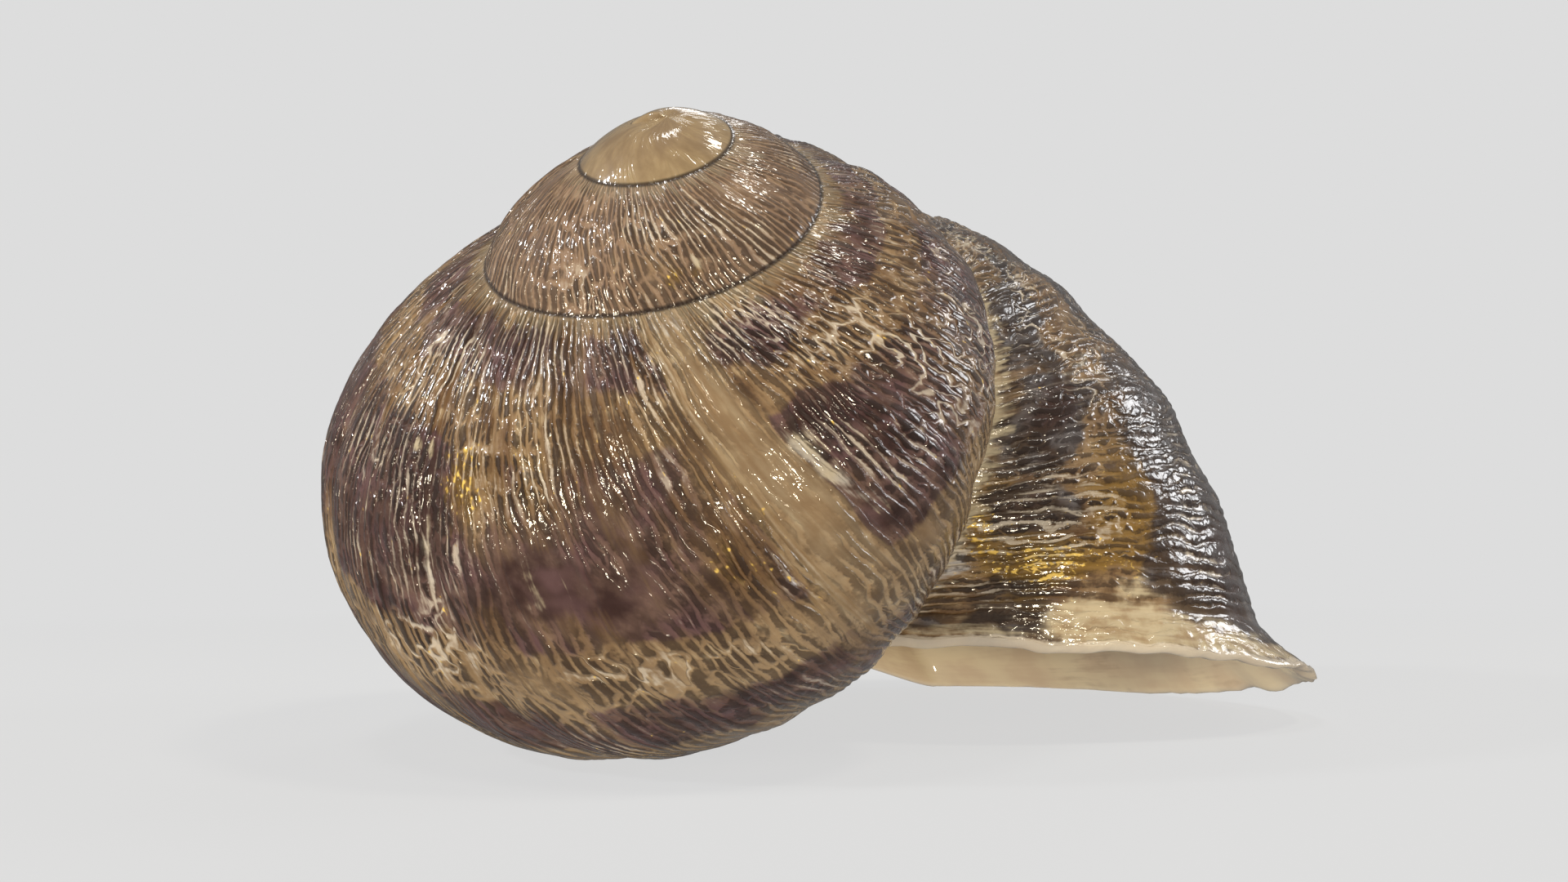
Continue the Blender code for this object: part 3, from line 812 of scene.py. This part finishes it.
class Nodes:
    """Short names for building a material's nodes."""

    def __init__(self, tree):
        self.tree = tree

    def put(self, socket, value):
        if isinstance(value, bpy.types.NodeSocket):
            self.tree.links.new(value, socket)
        else:
            socket.default_value = value

    def number(self, name):
        """A number that the points of the surface carry."""
        node = self.tree.nodes.new("ShaderNodeAttribute")
        node.attribute_name = name
        return node.outputs["Fac"]

    def math(self, operation, one, two=0.0):
        node = self.tree.nodes.new("ShaderNodeMath")
        node.operation = operation
        self.put(node.inputs[0], one)
        self.put(node.inputs[1], two)
        return node.outputs[0]

    def invert(self, value):
        return self.math("SUBTRACT", 1.0, value)

    def ramp(self, value, start, full):
        """0 at the start and 1 where full, smooth between; it falls where full is the lower one."""
        if full < start:
            return self.invert(self.ramp(value, full, start))
        node = self.tree.nodes.new("ShaderNodeMapRange")
        node.interpolation_type = "SMOOTHSTEP"
        self.put(node.inputs["Value"], value)
        node.inputs["From Min"].default_value = start
        node.inputs["From Max"].default_value = full
        return node.outputs["Result"]

    def mix(self, factor, one, two):
        node = self.tree.nodes.new("ShaderNodeMix")
        node.data_type = "RGBA"
        self.put(node.inputs["Factor"], factor)
        for number, colour in zip(MIX_COLOURS, (one, two)):
            self.put(node.inputs[number], colour)
        return node.outputs[MIX_RESULT]

    def noise(self, x, y, detail, shift):
        """Noise about 0, from coordinates already divided by the size of its features."""
        join = self.tree.nodes.new("ShaderNodeCombineXYZ")
        self.put(join.inputs[0], x)
        self.put(join.inputs[1], y)
        join.inputs[2].default_value = shift
        node = self.tree.nodes.new("ShaderNodeTexNoise")
        node.inputs["Scale"].default_value = 1.0
        node.inputs["Detail"].default_value = detail
        self.put(node.inputs["Vector"], join.outputs[0])
        return self.math("SUBTRACT", node.outputs["Fac"], 0.5)

    def weigh(self, fields, weights):
        """Sum of the named fields, each times its weight."""
        total = None
        for name, weight in weights.items():
            part = self.math("MULTIPLY", fields[name], weight)
            total = part if total is None else self.math("ADD", total, part)
        return total


# Numbers that the points carry, besides the two coordinates
GIVEN = ("stage", "turn", "phase", "strength", "wrinkled", "rib", "top", "low", "inside", "dark", "pale",
         "ochre", "amber", "cream", "clear")

# Noises over the surface: size along and across in mm, detail, and which slice of the noise
FIELDS = {
    "streak": (0.3, 2.6, 2, 1),
    "fine_streak": (0.12, 1.2, 2, 2),
    "cloud": (2.2, 2, 3, 3),
    "fleck": (0.5, 0.6, 3, 4),
    "grain": (0.1, 0.12, 2, 5),
    "pitting": (0.35, 0.5, 1, 6),
    "bend": (0.9, 0.9, 2, 8),
    "haze": (1.3, 1.1, 2, 10),
    "spark": (0.16, 0.2, 1, 11),
# The fine grain of the painted glints' sparks
}

# The network of wrinkles runs where one more noise is near zero: its sizes, detail and slice,
# how far it is bent, and where its lines end and are full
WORM = (0.5, 0.85, 0.5, 9)
WORM_BEND = 2.0
WORM_LINE = (0.1, 0.01)

# Ridges: the wave between a valley and a full crest, what shifts and strengthens them, and how
# far they give way to wrinkles
RIDGE_WAVE = (-0.4, 0.95)
RIDGE_SHIFT = {"fleck": 0.6, "grain": 0.2}
RIDGE_STRENGTH = {"strength": 1.0, "fleck": 1.2, "cloud": 0.9}
RIDGE_YIELD = 0.65

# Masks: where each starts and is full, and the sum of fields that it is made from
MASKS = {
    "young": (-880, -760, {"stage": 1}),
    "old": (-800, -900, {"stage": 1, "cloud": 60}),
    "rosy": (-440, -560, {"stage": 1, "cloud": 90}),
    "last": (-90, -60, {"stage": 1, "cloud": 30}),
    "edge": (-0.55, -0.2, {"stage": 1, "fleck": 1.2}),
    "below": (20, -2, {"turn": 1, "cloud": 16}),
    "ground": (-0.35, 0.35, {"cloud": 1.6, "streak": 0.9, "fleck": 0.7}),
    "light": (0.05, 0.35, {"fleck": 1, "fine_streak": 0.8}),
    "ochre_shown": (0.3, 1.0, {"ochre": 1, "cloud": 1.1, "streak": 0.9, "fleck": 0.6}),
    "dark_shown": (0.22, 0.75, {"dark": 1, "streak": 0.8, "fine_streak": 0.4, "fleck": 0.6, "cloud": 0.3}),
    "dark_tone": (-0.25, 0.25, {"cloud": 1, "fleck": 0.8}),
    "deep": (1.0, 1.9, {"dark": 1, "fleck": 1}),
    "violet": (-0.1, 0.22, {"haze": 1, "ochre_shown": -0.2}),
    "plain_tone": (-0.2, 0.25, {"streak": 1, "fleck": 0.6}),
    # The pale marks, some of which are painted highlights
    "pale_shown": (0.45, 0.95, {"pale": 0.8, "streak": 1.6, "fleck": 1.2, "fine_streak": 0.8}),
    "pale_tone": (-0.1, 0.15, {"cloud": 1}),
    # Where painted shade goes into the valleys between the ridges
    "valley": (0.4, 0.0, {"ridge": 1, "grain": 0.5, "fleck": 0.3}),
    # The darker amber ground and the golden sparks of the painted glints
    "under": (0.3, 0.9, {"amber": 1, "fleck": 1.6, "fine_streak": 0.8}),
    "glint_shown": (1.15, 1.75, {"amber": 1, "spark": 3.0, "fleck": 1.6, "ridge": 0.7}),
    # Where the crests are lightened, partly as painted highlight
    "crest": (0.6, 1.15, {"ridge": 1, "fine_streak": 0.9, "grain": 0.4, "glint_shown": -0.4, "cloud": 0.5}),
    "old_tone": (-0.2, 0.2, {"cloud": 1, "fleck": 0.6}),
    "strip": (0.7, 0.0, {"top": 1, "streak": 2.4, "fleck": 1.8, "last": -0.35}),
    # The dark line in the suture crease is painted shade
    "line": (0.11, 0.02, {"seam": 1}),
    "lip": (0.25, 0.85, {"cream": 1, "cloud": 0.8, "streak": 1.2, "fleck": 0.8}),
    "lip_tone": (-0.25, 0.15, {"streak": 1, "fleck": 1}),
    "pearl_tone": (-0.15, 0.2, {"cloud": 1, "streak": 0.3}),
    "pearl_dark": (0.2, 1.0, {"dark_shown": 1}),
}

# How far a coat covers what is under it, where not wholly
COVER = {"rosy": 0.65, "below": 0.4, "ochre_shown": 0.75, "last": 0.7, "deep": 0.7, "clear": 0.85,
         "pale_shown": 0.8, "under": 0.7, "line": 0.85, "lip": 0.8, "edge": 0.75, "pearl_dark": 0.16}

# What paints shade into the valleys, with the gain of the ridges in them; what lightens the crests,
# partly as painted highlight, as gain and limit; and what the pale strip at a suture is made from
VALLEY_SHADE = {"strength": 0.35, "young": 0.45}
VALLEY_GAIN = 2.0
CREST_SHADE = (0.6, 0.7)
STRIP_SHADE = {"last": 0.45, "young": 0.22}

# The gloss, and the bump: its depth, its fine detail, and how much of it all and young shell has
GLOSS = {"Roughness": 0.45, "Coat Weight": 1.0, "Coat Roughness": 0.08, "Specular IOR Level": 0.15}
BUMP_DEPTH = 0.07 * MM
BUMP_DETAIL = {"pitting": 0.5, "grain": 0.08}
BUMP_ALL = 0.5
BUMP_YOUNG = 0.7


def worm_lines(n, fields, u, v):
    """A network of fine crooked lines."""
    long, wide, detail, shift = WORM
    bent = n.math("ADD", n.math("DIVIDE", u, long), n.math("MULTIPLY", fields["bend"], WORM_BEND))
    waves = n.noise(bent, n.math("DIVIDE", v, wide), detail, shift)
    return n.ramp(n.math("ABSOLUTE", waves), *WORM_LINE)


def ridge_height(n, fields, worm):
    """Height of the ridges, which give way to the network where the surface is wrinkled."""
    strength = n.math("MAXIMUM", n.weigh(fields, RIDGE_STRENGTH), 0.0)
    phase = n.math("ADD", fields["phase"], n.weigh(fields, RIDGE_SHIFT))
    wave = n.math("COSINE", n.math("MULTIPLY", phase, TURN))
    left = n.invert(n.math("MULTIPLY", fields["wrinkled"], RIDGE_YIELD))
    ridge = n.math("MULTIPLY", n.ramp(wave, *RIDGE_WAVE), left)
    ridge = n.math("MAXIMUM", ridge, n.math("MULTIPLY", worm, fields["wrinkled"]))
    return n.math("MAXIMUM", n.math("MULTIPLY", ridge, strength), fields["rib"])


def shell_fields(n):
    """What the look is made from, by name: the points' numbers, noises, ridges and masks."""
    u, v = n.number("along"), n.number("across")
    fields = {name: n.number(name) for name in GIVEN}
    for name, (long, wide, detail, shift) in FIELDS.items():
        fields[name] = n.noise(n.math("DIVIDE", u, long), n.math("DIVIDE", v, wide), detail, shift)
    fields["ridge"] = ridge_height(n, fields, worm_lines(n, fields, u, v))
    fields["seam"] = n.math("MINIMUM", n.math("ABSOLUTE", fields["top"]), fields["low"])
    for name, (start, full, weights) in MASKS.items():
        fields[name] = n.ramp(n.weigh(fields, weights), start, full)
    return fields


def lay(n, fields, colour, coats):
    """A colour under coats, each given by its mask and its own colour."""
    for name, coat in coats.items():
        mask = n.math("MULTIPLY", fields[name], COVER[name]) if name in COVER else fields[name]
        colour = n.mix(mask, colour, coat)
    return colour


def dark_colour(n, fields):
    """Dark brown to violet, and olive on the newest part."""
    colour = n.mix(fields["dark_tone"], DARK, DARK_LIGHT)
    violet = n.mix(fields["last"], PURPLE, GREY)
    return lay(n, fields, colour, {"last": OLIVE_DARK, "violet": violet, "deep": DARK})


def ground_colour(n, fields):
    """The mottled ground with its ochre, dark, plain and pale marks."""
    colour = n.mix(fields["ground"], TAN_DARK, TAN)
    plain = n.mix(fields["plain_tone"], TAN, OLIVE_CREAM)
    pale = n.mix(fields["pale_tone"], CREAM, GREY_WHITE)
    return lay(n, fields, colour, {"light": TAN_LIGHT, "rosy": ROSY, "below": TAN_LIGHT, "ochre_shown": OCHRE,
                                   "dark_shown": dark_colour(n, fields), "clear": plain, "pale_shown": pale})


def relief_colour(n, fields, colour):
    """Painted shade in the valleys, painted amber glints, crests lightened partly to their own paler tone and
    partly as painted highlight, and the plain horn of the first whorl.
    """
    rough = n.math("MINIMUM", n.math("MULTIPLY", fields["strength"], VALLEY_GAIN), 1.0)
    shade = n.math("MULTIPLY", n.math("MULTIPLY", fields["valley"], rough), n.weigh(fields, VALLEY_SHADE))
    gain, limit = CREST_SHADE
    light = n.math("MINIMUM", n.math("MULTIPLY", fields["strength"], gain), limit)
    shown = {**fields, "shade": shade, "crest": n.math("MULTIPLY", fields["crest"], light)}
    horn = n.mix(fields["old_tone"], IVORY, HORN)
    return lay(n, shown, colour, {"shade": SHADE_BROWN, "under": GLINT_GROUND, "glint_shown": GLINT_GOLD, "crest": CREST_HIGHLIGHT_AND_LIP_EDGE,
                                  "old": horn})


def edge_colour(n, fields, colour):
    """The pale strip along the sutures, the painted shade of the dark line in the suture crease, and the pale
    lip.
    """
    strip = n.math("MULTIPLY", fields["strip"], n.weigh(fields, STRIP_SHADE))
    lip = n.mix(fields["lip_tone"], TAN_LIGHT, CREAM)
    return lay(n, {**fields, "strip": strip}, colour,
               {"strip": CREAM, "line": SHADE_BROWN, "lip": lip, "edge": CREST_HIGHLIGHT_AND_LIP_EDGE})


def pearl_colour(n, fields):
    """The lining of the mouth, with the dark marks showing through a little."""
    return lay(n, fields, n.mix(fields["pearl_tone"], NACRE, NACRE_ROSE), {"pearl_dark": DARK_LIGHT})


def shell_bump(n, fields):
    """Ridges and fine pitting on the outside."""
    share = n.math("ADD", n.math("MULTIPLY", fields["young"], BUMP_YOUNG), BUMP_ALL)
    height = n.math("ADD", fields["ridge"], n.math("MULTIPLY", n.weigh(fields, BUMP_DETAIL), share))
    bump = n.tree.nodes.new("ShaderNodeBump")
    bump.inputs["Strength"].default_value = 1.0
    bump.inputs["Distance"].default_value = BUMP_DEPTH
    n.put(bump.inputs["Height"], n.math("MULTIPLY", height, n.invert(fields["inside"])))
    return bump.outputs["Normal"]


def new_material(name):
    """A material, its nodes and its surface."""
    material = bpy.data.materials.new(name)
    material.use_nodes = True
    return material, Nodes(material.node_tree), material.node_tree.nodes["Principled BSDF"]


def shell_material():
    material, n, surface = new_material("snail_shell")
    fields = shell_fields(n)
    colour = edge_colour(n, fields, relief_colour(n, fields, ground_colour(n, fields)))
    n.put(surface.inputs["Base Color"], n.mix(fields["inside"], colour, pearl_colour(n, fields)))
    for name, value in GLOSS.items():
        surface.inputs[name].default_value = value
    normal = shell_bump(n, fields)
    n.put(surface.inputs["Normal"], normal)
    n.put(surface.inputs["Coat Normal"], normal)
    return material


# The photograph's camera
CAMERA_PLACE = Vector((-1.926, -39.016, 5.268)) * MM
CAMERA_HEADING = math.radians(-0.055)
CAMERA_RISE = math.radians(7.246)
CAMERA_ROLL = math.radians(-0.44)
CAMERA_LENS = 24.32
CAMERA_SENSOR = 36
CAMERA_NEAR = 1 * MM


def make_camera():
    data = bpy.data.cameras.new("camera")
    data.sensor_width = CAMERA_SENSOR
    data.lens = CAMERA_LENS
    data.clip_start = CAMERA_NEAR
    camera = bpy.data.objects.new("camera", data)
    bpy.context.collection.objects.link(camera)
    turn = (Matrix.Rotation(CAMERA_HEADING, 4, "Z") @ Matrix.Rotation(math.pi / 2 + CAMERA_RISE, 4, "X")
            @ Matrix.Rotation(CAMERA_ROLL, 4, "Z"))
    camera.matrix_world = Matrix.Translation(CAMERA_PLACE) @ turn
    bpy.context.scene.camera = camera


# Soft studio lights: azimuth and elevation in degrees seen from the shell, distance, width and
# height in metres, power and colour
AIM = Vector((0.0, 0.0, 9.0)) * MM
LIGHTS = (
    ("left_lamp", -41, 3, 0.3, 0.03, 0.03, 0.34, (1, 0.88, 0.66)),
    ("low_lamp", 20, 0, 0.3, 0.034, 0.028, 0.38, (1, 0.88, 0.66)),
    ("top_lamp", 62, 62, 0.3, 0.04, 0.04, 0.27, (1, 0.95, 0.84)),
    ("high_lamp", -30, 70, 0.3, 0.05, 0.05, 0.18, (1, 0.99, 0.96)),
    ("left_rim", -72, 32, 0.3, 0.026, 0.026, 0.34, (0.97, 0.98, 1)),
    ("right_rim", 100, 22, 0.3, 0.1, 0.1, 0.26, (0.97, 0.98, 1)),
    ("back_lamp", 180, 55, 0.35, 0.08, 0.08, 0.1, (1, 1, 1)),
)


def make_lights():
    for name, azimuth, elevation, distance, width, height, power, colour in LIGHTS:
        data = bpy.data.lights.new(name, "AREA")
        data.shape = "RECTANGLE"
        data.size = width
        data.size_y = height
        data.energy = power
        data.color = colour
        lamp = bpy.data.objects.new(name, data)
        around, up = math.radians(azimuth), math.radians(elevation)
        way = Vector((math.sin(around) * math.cos(up), -math.cos(around) * math.cos(up), math.sin(up)))
        lamp.location = AIM + way * distance
        lamp.rotation_euler = way.to_track_quat("Z", "Y").to_euler()
        lamp.visible_camera = False
        bpy.context.collection.objects.link(lamp)


# Near the shell the floor glows less and takes the shadow; farther out it glows like the backdrop
BACKGROUND = seen(221, 221, 221)
SURROUND = (0.17, 0.17, 0.17, 1.0)
BACKDROP_RADIUS = 1.5
BACKDROP_MESH = (48, 24)
FLOOR_SIDES = 64
FLOOR_SHADE = (0.1, 0.1, 0.1, 1.0)
FLOOR_GLOW = 0.87
FLOOR_FADE = (0.05, 0.16)


def glowing_material(name):
    """A material without gloss that gives off light."""
    material, n, surface = new_material(name)
    surface.inputs["Specular IOR Level"].default_value = 0.0
    surface.inputs["Emission Strength"].default_value = 1.0
    return material, n, surface


def make_world():
    world = bpy.data.worlds.new("studio")
    world.use_nodes = True
    around = world.node_tree.nodes["Background"]
    around.inputs["Color"].default_value = SURROUND
    around.inputs["Strength"].default_value = 1.0
    bpy.context.scene.world = world


def floor_material():
    """The backdrop's colour, with a soft shadow only near the shell."""
    material, n, surface = glowing_material("floor")
    surface.inputs["Roughness"].default_value = 1.0
    spot = n.tree.nodes.new("ShaderNodeTexCoord")
    reach = n.tree.nodes.new("ShaderNodeVectorMath")
    reach.operation = "LENGTH"
    n.put(reach.inputs[0], spot.outputs["Object"])
    far = n.ramp(reach.outputs["Value"], *FLOOR_FADE)
    near_glow = [FLOOR_GLOW * part for part in BACKGROUND]
    n.put(surface.inputs["Base Color"], n.mix(far, FLOOR_SHADE, BLACK))
    n.put(surface.inputs["Emission Color"], n.mix(far, near_glow, BACKGROUND))
    return material


def make_floor():
    angles = [TURN * side / FLOOR_SIDES for side in range(FLOOR_SIDES)]
    ring = [(BACKDROP_RADIUS * math.cos(angle), BACKDROP_RADIUS * math.sin(angle), 0.0) for angle in angles]
    mesh = bpy.data.meshes.new("floor")
    mesh.from_pydata(ring, [], [tuple(range(FLOOR_SIDES))])
    floor = bpy.data.objects.new("floor", mesh)
    bpy.context.collection.objects.link(floor)
    floor.visible_glossy = False
    mesh.materials.append(floor_material())


def make_backdrop():
    """A sphere of one even colour, for the camera alone."""
    segments, rings = BACKDROP_MESH
    bpy.ops.mesh.primitive_uv_sphere_add(segments=segments, ring_count=rings, radius=BACKDROP_RADIUS)
    backdrop = bpy.context.object
    backdrop.name = "backdrop"
    for way in ("visible_diffuse", "visible_glossy", "visible_transmission", "visible_shadow"):
        setattr(backdrop, way, False)
    material, _, surface = glowing_material("backdrop")
    surface.inputs["Base Color"].default_value = BLACK
    surface.inputs["Emission Color"].default_value = BACKGROUND
    backdrop.data.materials.append(material)


bpy.context.scene.view_settings.view_transform = "Standard"
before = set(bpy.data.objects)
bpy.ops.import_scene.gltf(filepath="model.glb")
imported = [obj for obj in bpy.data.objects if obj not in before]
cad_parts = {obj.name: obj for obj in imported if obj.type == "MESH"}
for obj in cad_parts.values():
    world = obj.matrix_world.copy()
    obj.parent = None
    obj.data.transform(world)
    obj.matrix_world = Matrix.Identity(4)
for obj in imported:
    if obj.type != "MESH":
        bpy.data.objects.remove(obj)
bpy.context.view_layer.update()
make_camera()
make_world()
make_floor()
make_backdrop()
make_lights()
coat = shell_material()
for piece in (make_spire(), make_last_whorl(), make_mouth_wall(), make_mouth_floor()):
    piece.data.materials.append(coat)
    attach(piece, "root")
    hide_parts("shell")
